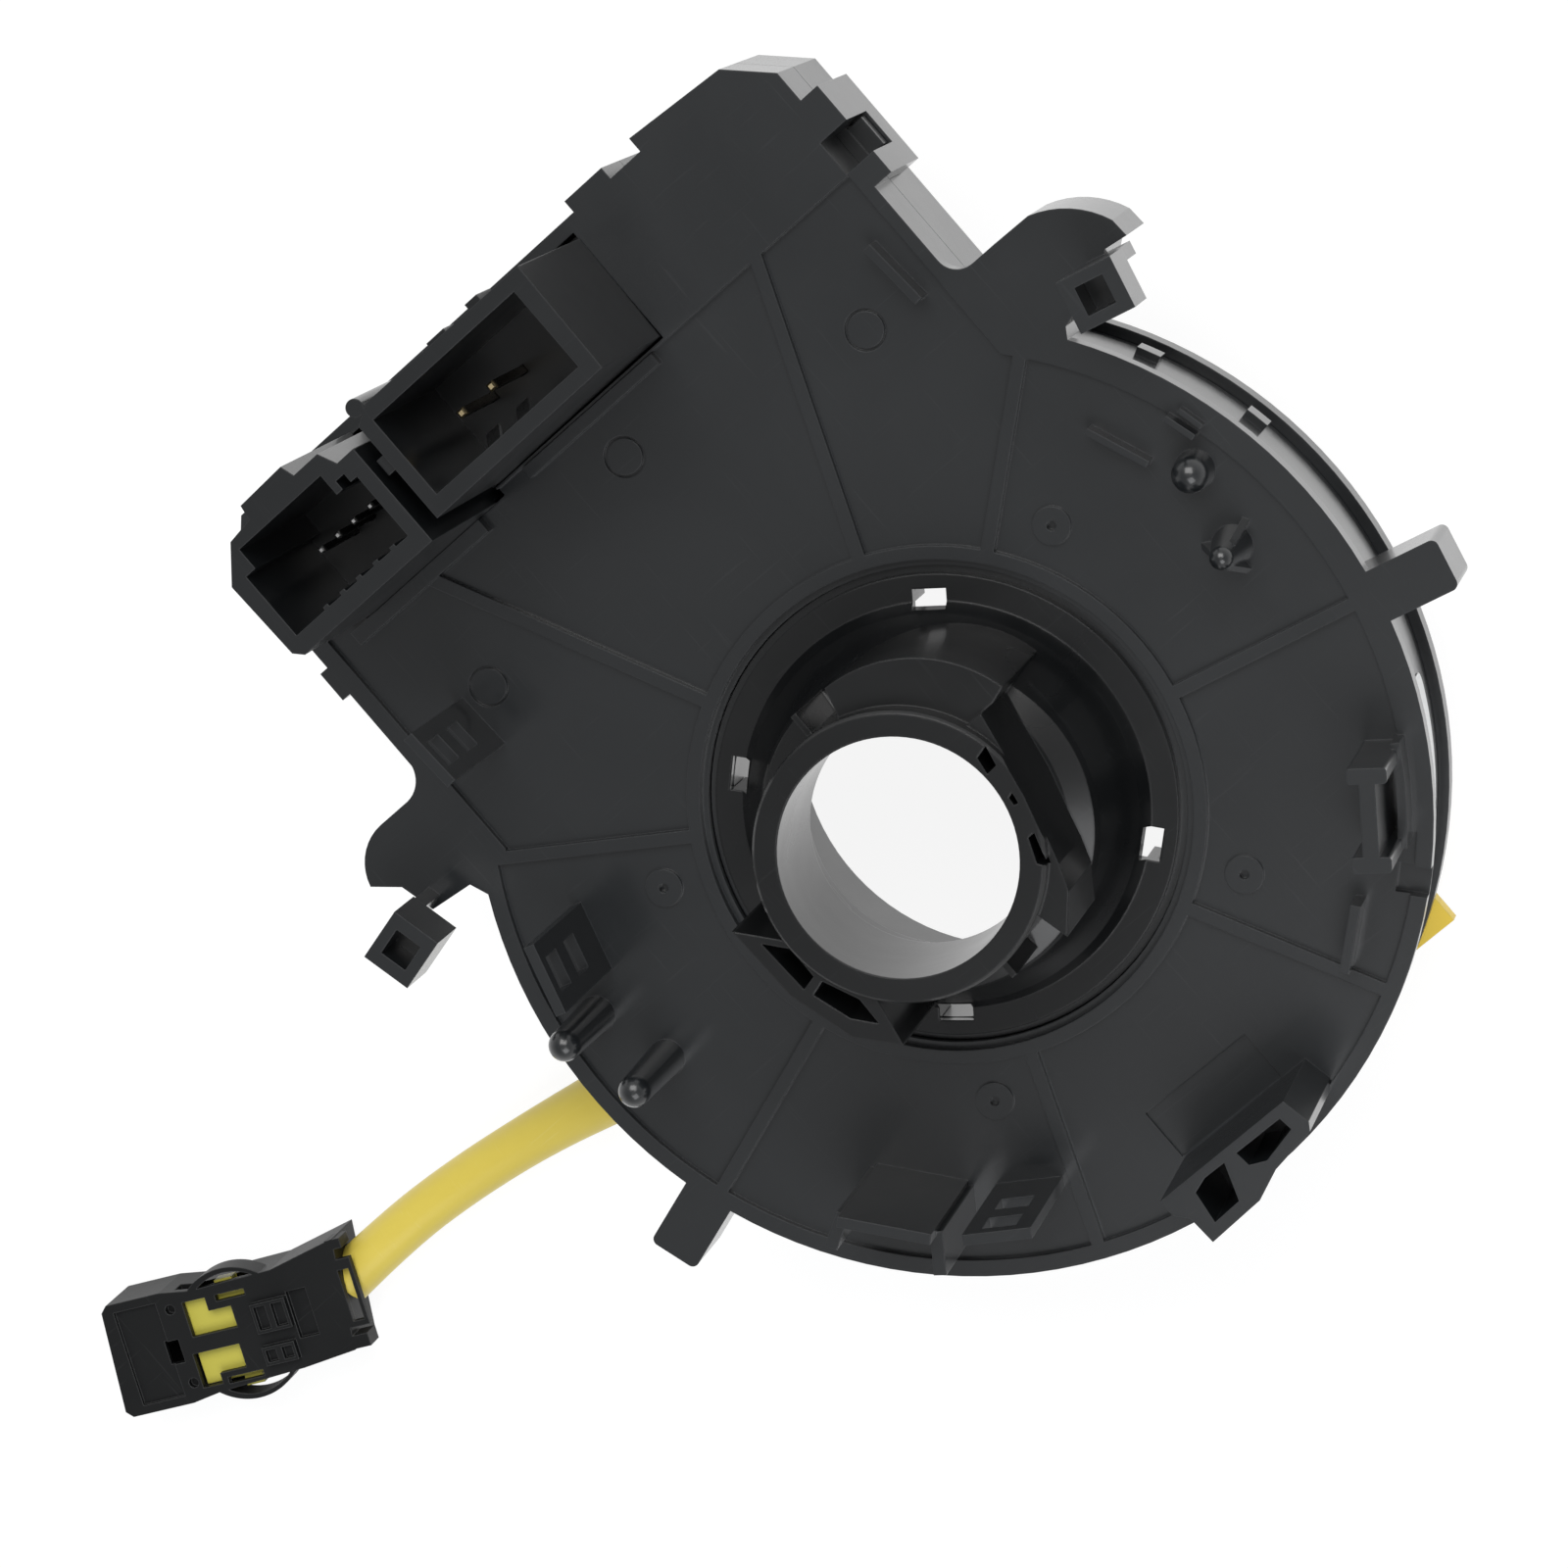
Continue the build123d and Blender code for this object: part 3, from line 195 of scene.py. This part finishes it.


# The edge shading mask: where the bevel's rounded normal turns away from the flat face, the colour is
# later mixed towards a painted edge tone. The rounded normal is also passed on to the bump.
def edge_shading_group():
    no_edge_shading_turn = 0.995
    full_edge_shading_turn = 0.72
    group = bpy.data.node_groups.new("edge_shading", "ShaderNodeTree")
    face = group.interface
    face.new_socket("Radius", in_out="INPUT", socket_type="NodeSocketFloat")
    face.new_socket("Edge", in_out="OUTPUT", socket_type="NodeSocketFloat")
    face.new_socket("Rounded", in_out="OUTPUT", socket_type="NodeSocketVector")
    start = place_node(group, "NodeGroupInput")
    end = place_node(group, "NodeGroupOutput")
    bevel = place_node(group, "ShaderNodeBevel", samples=6)
    flat = place_node(group, "ShaderNodeNewGeometry")
    alike = place_node(group, "ShaderNodeVectorMath", operation="DOT_PRODUCT")
    edge = place_node(group, "ShaderNodeMapRange",
                      {"From Min": no_edge_shading_turn, "From Max": full_edge_shading_turn,
                       "To Min": 0.0, "To Max": 1.0})
    group.links.new(start.outputs["Radius"], bevel.inputs["Radius"])
    group.links.new(bevel.outputs["Normal"], alike.inputs[0])
    group.links.new(flat.outputs["Normal"], alike.inputs[1])
    group.links.new(alike.outputs["Value"], edge.inputs["Value"])
    group.links.new(edge.outputs["Result"], end.inputs["Edge"])
    group.links.new(bevel.outputs["Normal"], end.inputs["Rounded"])
    return group


def handling_marks_group():
    streak_lays = (((0.1, 0.2, 0.6), (2600, 90, 700)), ((0.1, 0.2, -0.9), (90, 2200, 700)))
    faintest_streak = 0.66
    full_streak = 0.78
    group = bpy.data.node_groups.new("handling_marks", "ShaderNodeTree")
    face = group.interface
    face.new_socket("Amount", in_out="INPUT", socket_type="NodeSocketFloat")
    face.new_socket("Marks", in_out="OUTPUT", socket_type="NodeSocketFloat")
    start = place_node(group, "NodeGroupInput")
    end = place_node(group, "NodeGroupOutput")
    coords = place_node(group, "ShaderNodeTexCoord")
    strongest = place_node(group, "ShaderNodeMath", operation="MAXIMUM")
    for slot, (turn, squeeze) in enumerate(streak_lays):
        lay = place_node(group, "ShaderNodeMapping", {"Rotation": turn, "Scale": squeeze})
        streak = place_node(group, "ShaderNodeTexNoise", {"Scale": 1.0, "Detail": 2.0})
        cut = place_node(group, "ShaderNodeMapRange",
                         {"From Min": faintest_streak, "From Max": full_streak,
                          "To Min": 0.0, "To Max": 1.0})
        group.links.new(coords.outputs["Object"], lay.inputs["Vector"])
        group.links.new(lay.outputs["Vector"], streak.inputs["Vector"])
        group.links.new(streak.outputs["Fac"], cut.inputs["Value"])
        group.links.new(cut.outputs["Result"], strongest.inputs[slot])
    dose = place_node(group, "ShaderNodeMath", operation="MULTIPLY")
    group.links.new(strongest.outputs[0], dose.inputs[0])
    group.links.new(start.outputs["Amount"], dose.inputs[1])
    group.links.new(dose.outputs[0], end.inputs["Marks"])
    return group


moulding_grain = moulding_grain_group()
edge_shading = edge_shading_group()
handling_marks = handling_marks_group()
plastic_flow_scale = 38.0
noise_low = 0.3
noise_high = 0.7


def moulded_plastic(name, dark, light, scuff_and_edge_shading, roughness, spread, grain_size, grain_depth,
                    edge_radius, edge_gain, specular=0.5, coat=0.0, coat_roughness=0.3,
                    scuffs=0.12):
    paint = bpy.data.materials.new(name)
    paint.use_nodes = True
    tree = paint.node_tree
    shader = tree.nodes["Principled BSDF"]
    shader.inputs["Specular IOR Level"].default_value = specular
    shader.inputs["Coat Weight"].default_value = coat
    shader.inputs["Coat Roughness"].default_value = coat_roughness
    skin = place_node(tree, "ShaderNodeGroup", node_tree=moulding_grain)
    skin.inputs["Grain Scale"].default_value = 1.0 / grain_size
    skin.inputs["Flow Scale"].default_value = plastic_flow_scale
    rim = place_node(tree, "ShaderNodeGroup", node_tree=edge_shading)
    rim.inputs["Radius"].default_value = edge_radius
    body = place_node(tree, "ShaderNodeMix", data_type="RGBA")
    body.inputs["A"].default_value = (*dark, 1)
    body.inputs["B"].default_value = (*light, 1)
    # Painted edge shading and scuffs: the edge mask and the handling marks mix the colour towards one
    # tone. On the edges it is a painted highlight, paler than the body on most skins and darker on the
    # white film strip. On the streaks it is real scuffing.
    scuffed_and_edge_shaded = place_node(tree, "ShaderNodeMix", data_type="RGBA")
    scuffed_and_edge_shaded.inputs["B"].default_value = (*scuff_and_edge_shading, 1)
    gain = place_node(tree, "ShaderNodeMath", {1: edge_gain}, operation="MULTIPLY")
    marks = place_node(tree, "ShaderNodeGroup", node_tree=handling_marks)
    marks.inputs["Amount"].default_value = scuffs
    scuff_and_edge_shading_mask = place_node(tree, "ShaderNodeMath", operation="MAXIMUM")
    dull = place_node(tree, "ShaderNodeMapRange",
                      {"From Min": noise_low, "From Max": noise_high,
                       "To Min": roughness - spread, "To Max": roughness + spread})
    bump = place_node(tree, "ShaderNodeBump", {"Strength": 1.0, "Distance": grain_depth})
    join = tree.links.new
    join(skin.outputs["Flow"], body.inputs["Factor"])
    join(body.outputs["Result"], scuffed_and_edge_shaded.inputs["A"])
    join(rim.outputs["Edge"], gain.inputs[0])
    join(gain.outputs[0], scuff_and_edge_shading_mask.inputs[0])
    join(marks.outputs["Marks"], scuff_and_edge_shading_mask.inputs[1])
    join(scuff_and_edge_shading_mask.outputs[0], scuffed_and_edge_shaded.inputs["Factor"])
    join(scuffed_and_edge_shaded.outputs["Result"], shader.inputs["Base Color"])
    join(skin.outputs["Flow"], dull.inputs["Value"])
    join(dull.outputs["Result"], shader.inputs["Roughness"])
    join(skin.outputs["Grain"], bump.inputs["Height"])
    join(rim.outputs["Rounded"], bump.inputs["Normal"])
    join(bump.outputs["Normal"], shader.inputs["Normal"])
    return paint


def dress(names, paint):
    for name in names:
        mesh = node[name].data
        mesh.materials.clear()
        mesh.materials.append(paint)


case_black = moulded_plastic(
    "case_black", dark=(0.0066, 0.0080, 0.0092), light=(0.0100, 0.0117, 0.0134),
    scuff_and_edge_shading=(0.055, 0.058, 0.062), roughness=0.40, spread=0.05, grain_size=0.00022,
    grain_depth=0.000012, edge_radius=0.0002, edge_gain=0.45,
    specular=0.3, coat=0.8, coat_roughness=0.18)
dress(["column_side_case"], case_black)


# The plain film strip stuck round the case's wall below the rim, beside the long
# tab. It is white satin film with rounded corners, left bare.
strip_radius = 0.05104
strip_thickness = 0.00012
strip_start, strip_end = -57.0, -25.5
strip_bottom, strip_top = 0.0200, 0.0312
strip_corner = 0.0015
strip_steps = 64
strip_rows = 12


def corner_inset(azimuth):
    reach = strip_radius * math.radians(min(azimuth - strip_start, strip_end - azimuth))
    if reach >= strip_corner:
        return 0.0
    return strip_corner - math.sqrt(max(strip_corner ** 2 - (strip_corner - reach) ** 2, 0.0))


strip_points = []
for layer in (0.0, strip_thickness):
    for step in range(strip_steps + 1):
        ease = 0.5 - 0.5 * math.cos(math.pi * step / strip_steps)
        azimuth = strip_start + (strip_end - strip_start) * ease
        low = strip_bottom + corner_inset(azimuth)
        high = strip_top - corner_inset(azimuth)
        reach = strip_radius + layer
        for row in range(strip_rows + 1):
            strip_points.append((reach * math.cos(math.radians(azimuth)),
                                 reach * math.sin(math.radians(azimuth)),
                                 low + (high - low) * row / strip_rows))
column_size = strip_rows + 1
layer_size = (strip_steps + 1) * column_size
strip_faces = []
for step in range(strip_steps):
    for row in range(strip_rows):
        first = step * column_size + row
        second = first + column_size
        strip_faces.append((first, first + 1, second + 1, second))
        strip_faces.append(tuple(layer_size + point for point in
                                 (first, second, second + 1, first + 1)))
last_column = strip_steps * column_size
rim_loop = (list(range(strip_rows))
            + [step * column_size + strip_rows for step in range(strip_steps)]
            + [last_column + row for row in range(strip_rows, 0, -1)]
            + [step * column_size for step in range(strip_steps, 0, -1)])
for here, there in zip(rim_loop, rim_loop[1:] + rim_loop[:1]):
    strip_faces.append((here, layer_size + here, layer_size + there, there))
strip_mesh = bpy.data.meshes.new("plain_film_strip")
strip_mesh.from_pydata(strip_points, [], strip_faces)
strip_form = bmesh.new()
strip_form.from_mesh(strip_mesh)
bmesh.ops.recalc_face_normals(strip_form, faces=strip_form.faces)
strip_form.to_mesh(strip_mesh)
strip_form.free()
film_strip = bpy.data.objects.new("plain_film_strip", strip_mesh)
scene.collection.objects.link(film_strip)
# Its edges are painted slightly darker than the film, a painted edge shade.
strip_white = moulded_plastic(
    "strip_white", dark=(0.80, 0.81, 0.80), light=(0.86, 0.865, 0.86), scuff_and_edge_shading=(0.7, 0.7, 0.7),
    roughness=0.4, spread=0.05, grain_size=0.0004, grain_depth=0.000004,
    edge_radius=0.0001, edge_gain=0.3, coat=0.4, coat_roughness=0.25, scuffs=0.2)
strip_mesh.materials.append(strip_white)
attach(film_strip, "case")


# The wheel side case: the rim and shallow tray that close the case from below.
# It is moulded in the same black plastic and held by the hasp on the wall.
dress(["wheel_side_case"], case_black)


# The two slip sheets and the ribbon between them: thin milky film, laid flat or
# wound in the case, where it is almost wholly hidden.
slip_film = moulded_plastic(
    "slip_film", dark=(0.55, 0.57, 0.55), light=(0.68, 0.70, 0.68), scuff_and_edge_shading=(0.8, 0.8, 0.8),
    roughness=0.35, spread=0.06, grain_size=0.0006, grain_depth=0.000004,
    edge_radius=0.0001, edge_gain=0.2)
dress(["slip_sheet_column_side", "slip_sheet_wheel_side", "ribbon_cable"], slip_film)


# The two ribbon holders: small black mouldings that clamp the ribbon's ends, one
# to the rotor and one to the case.
dress(["rotor_ribbon_holder", "stator_ribbon_holder"], case_black)


# The column connector: one moulding with the two sockets, smoother than the case
# and dark down in its wells. The socket on the wheel side is of the same plastic.
socket_black = moulded_plastic(
    "socket_black", dark=(0.0058, 0.0068, 0.0077), light=(0.0088, 0.0100, 0.0112),
    scuff_and_edge_shading=(0.045, 0.047, 0.05), roughness=0.36, spread=0.05, grain_size=0.0003,
    grain_depth=0.000008, edge_radius=0.0002, edge_gain=0.45,
    specular=0.3, coat=0.6, coat_roughness=0.2)
dress(["column_connector", "wheel_harness_socket"], socket_black)


# The pins and springs: stamped metal, gold plated in the large socket and tinned
# elsewhere, pressed into the sockets. The pins in the two deep wells keep their
# bright plate at the tips, and below them their sides are painted dark, a painted
# shade standing for the black well that they mirror.
metal_grain_scale = 9000.0
metal_flow_scale = 700.0
polished_gain = 0.08
tarnished_loss = 0.12
tip_fade_start = 0.0009
tip_fade_end = 0.0003
well_shade = 0.1


def plated_metal(name, bright, dull, roughness, tip_height=None):
    paint = bpy.data.materials.new(name)
    paint.use_nodes = True
    tree = paint.node_tree
    shader = tree.nodes["Principled BSDF"]
    shader.inputs["Metallic"].default_value = 1.0
    skin = place_node(tree, "ShaderNodeGroup", node_tree=moulding_grain)
    skin.inputs["Grain Scale"].default_value = metal_grain_scale
    skin.inputs["Flow Scale"].default_value = metal_flow_scale
    body = place_node(tree, "ShaderNodeMix", data_type="RGBA")
    body.inputs["A"].default_value = (*dull, 1)
    body.inputs["B"].default_value = (*bright, 1)
    sheen = place_node(tree, "ShaderNodeMapRange",
                       {"From Min": noise_low, "From Max": noise_high,
                        "To Min": roughness - polished_gain,
                        "To Max": roughness + tarnished_loss})
    tree.links.new(skin.outputs["Flow"], body.inputs["Factor"])
    well_shaded_body = body
    # Painted shade: below the tip height the colour fades to a dark copy of the dull plate, standing for
    # the black well mirrored in the pins' sides.
    if tip_height is not None:
        place = place_node(tree, "ShaderNodeTexCoord")
        height = place_node(tree, "ShaderNodeSeparateXYZ")
        tip = place_node(tree, "ShaderNodeMapRange",
                         {"From Min": tip_height - tip_fade_start,
                          "From Max": tip_height - tip_fade_end,
                          "To Min": 0.0, "To Max": 1.0})
        well_shaded_body = place_node(tree, "ShaderNodeMix", data_type="RGBA")
        well_shaded_body.inputs["A"].default_value = (*(well_shade * tone for tone in dull), 1)
        tree.links.new(place.outputs["Object"], height.inputs[0])
        tree.links.new(height.outputs["Z"], tip.inputs["Value"])
        tree.links.new(tip.outputs["Result"], well_shaded_body.inputs["Factor"])
        tree.links.new(body.outputs["Result"], well_shaded_body.inputs["B"])
    tree.links.new(well_shaded_body.outputs["Result"], shader.inputs["Base Color"])
    tree.links.new(skin.outputs["Grain"], sheen.inputs["Value"])
    tree.links.new(sheen.outputs["Result"], shader.inputs["Roughness"])
    return paint


pin_tip_height = 0.048
gold_plate = plated_metal("gold_plate", bright=(0.88, 0.74, 0.45), dull=(0.72, 0.56, 0.30),
                          roughness=0.28, tip_height=pin_tip_height)
tin_pins = plated_metal("tin_pins", bright=(0.80, 0.80, 0.79), dull=(0.6, 0.6, 0.6),
                        roughness=0.3, tip_height=pin_tip_height)
tin_plate = plated_metal("tin_plate", bright=(0.78, 0.79, 0.80), dull=(0.55, 0.56, 0.58),
                         roughness=0.32)
dress(["large_socket_pins"], gold_plate)
dress(["small_socket_pins"], tin_pins)
dress(["shorting_springs", "wheel_socket_pins"], tin_plate)


# The rotor: a dull moulded disc with the bore tube, which turns inside the case,
# and the clamp that holds the pigtail on its wheel side.
rotor_black = moulded_plastic(
    "rotor_black", dark=(0.0068, 0.0079, 0.0089), light=(0.0102, 0.0115, 0.0130),
    scuff_and_edge_shading=(0.05, 0.052, 0.055), roughness=0.4, spread=0.06, grain_size=0.00025,
    grain_depth=0.00001, edge_radius=0.0002, edge_gain=0.5,
    specular=0.35, coat=0.6, coat_roughness=0.22)
dress(["rotor_disc", "pigtail_strain_relief"], rotor_black)


# The cancel cam sleeve: a hard glossy moulding, polished where the steering
# column's lever rides on it, so it mirrors the room along every edge. Its edges
# also carry a faint pale painted highlight in their colour.
sleeve_gloss = moulded_plastic(
    "sleeve_gloss", dark=(0.004, 0.0045, 0.005), light=(0.006, 0.0065, 0.007),
    scuff_and_edge_shading=(0.05, 0.052, 0.055), roughness=0.30, spread=0.06, grain_size=0.0005,
    grain_depth=0.000006, edge_radius=0.00035, edge_gain=0.18,
    specular=0.3, coat=0.4, coat_roughness=0.14)
dress(["cancel_cam_sleeve"], sleeve_gloss)


# The squib connector at the pigtail's end: satin black housing with a yellow
# lock, which slides to hold the latch. The housing's edges carry a strong pale
# painted highlight.
connector_black = moulded_plastic(
    "connector_black", dark=(0.006, 0.0065, 0.0068), light=(0.010, 0.0105, 0.011),
    scuff_and_edge_shading=(0.09, 0.091, 0.092), roughness=0.46, spread=0.07, grain_size=0.00022,
    grain_depth=0.000014, edge_radius=0.0002, edge_gain=0.8, specular=0.2)
dress(["squib_connector_housing"], connector_black)
lock_yellow = moulded_plastic(
    "lock_yellow", dark=(0.50, 0.45, 0.058), light=(0.57, 0.52, 0.082),
    scuff_and_edge_shading=(0.66, 0.62, 0.22), roughness=0.4, spread=0.05, grain_size=0.0003,
    grain_depth=0.000006, edge_radius=0.0002, edge_gain=0.4)
dress(["squib_connector_lock"], lock_yellow)


# The transit lock tab: an orange-yellow tongue under the rotor's rim, which keeps
# the rotor centred until the steering wheel is fitted.
tab_yellow = moulded_plastic(
    "tab_yellow", dark=(0.97, 0.67, 0.055), light=(0.98, 0.71, 0.075),
    scuff_and_edge_shading=(0.9, 0.75, 0.3), roughness=0.42, spread=0.05, grain_size=0.0003,
    grain_depth=0.000006, edge_radius=0.0002, edge_gain=0.4)
dress(["transit_lock_tab"], tab_yellow)


# The pigtail: the airbag leads in a soft yellow sleeve, 6 mm across, which comes
# out from under the case and ends in the squib connector.
pigtail_route = [
    (-0.0450, -0.0046, 0.0049), (-0.0535, -0.0036, 0.0044), (-0.0625, -0.0019, 0.0035),
    (-0.0730, 0.0001, 0.0031), (-0.0840, 0.0015, 0.0031), (-0.0945, 0.0020, 0.0034),
    (-0.1035, 0.0014, 0.0038)]
pigtail_swell = (1.0, 1.36, 1.15, 1.0, 0.98, 0.98, 1.02)
sleeve_diameter = 0.006
pigtail_curve = bpy.data.curves.new("pigtail", "CURVE")
pigtail_curve.dimensions = "3D"
pigtail_curve.bevel_depth = sleeve_diameter / 2
pigtail_curve.bevel_resolution = 8
pigtail_curve.use_fill_caps = True
pigtail_line = pigtail_curve.splines.new("NURBS")
pigtail_line.points.add(len(pigtail_route) - 1)
for bead, place, swell in zip(pigtail_line.points, pigtail_route, pigtail_swell):
    bead.co = (*place, 1.0)
    bead.radius = swell
pigtail_line.order_u = 3
pigtail_line.use_endpoint_u = True
pigtail_line.resolution_u = 16
pigtail = bpy.data.objects.new("pigtail", pigtail_curve)
scene.collection.objects.link(pigtail)
sleeving_yellow = moulded_plastic(
    "sleeving_yellow", dark=(0.66, 0.51, 0.058), light=(0.77, 0.62, 0.105),
    scuff_and_edge_shading=(0.80, 0.70, 0.28), roughness=0.42, spread=0.07, grain_size=0.0009,
    grain_depth=0.00002, edge_radius=0.0002, edge_gain=0.1,
    coat=0.25, coat_roughness=0.3, scuffs=0.2)
pigtail_curve.materials.append(sleeving_yellow)
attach(pigtail, "rotor")
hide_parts("pigtail_sleeve")
